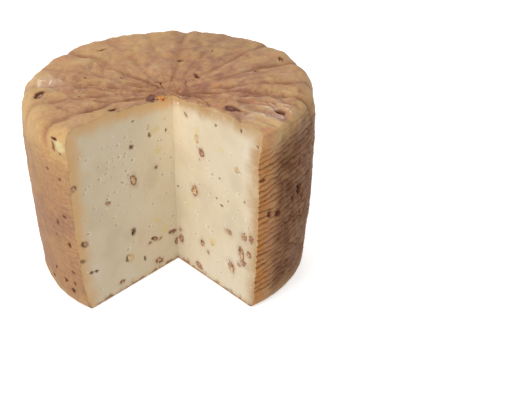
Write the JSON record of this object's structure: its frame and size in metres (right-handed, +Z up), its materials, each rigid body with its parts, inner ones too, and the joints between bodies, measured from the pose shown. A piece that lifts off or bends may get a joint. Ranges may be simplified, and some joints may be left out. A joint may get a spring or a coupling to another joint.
{
  "type": "pecorino cheese wheel with a wedge cut out",
  "caption": "Tall wheel of walnut pecorino standing on its flat foot, with a gathered-cloth top, a basket-ribbed side and an upright wedge-shaped notch cut to its middle.",
  "frame": {"origin": "middle of the flat foot, on the wheel's own axis", "axes": "+Z up along the wheel's axis; -Y out through the middle of the notch; +X to the right for someone who looks into the notch"},
  "size_m": [0.1999, 0.1845, 0.1399],
  "materials": {
    "cheese": "tan, oily, folded rind outside; matt cream paste with walnut chips on the cut faces"
  },
  "bodies": {
    "root": {"cheese_wheel": "cheese"}
  },
  "joints": []
}
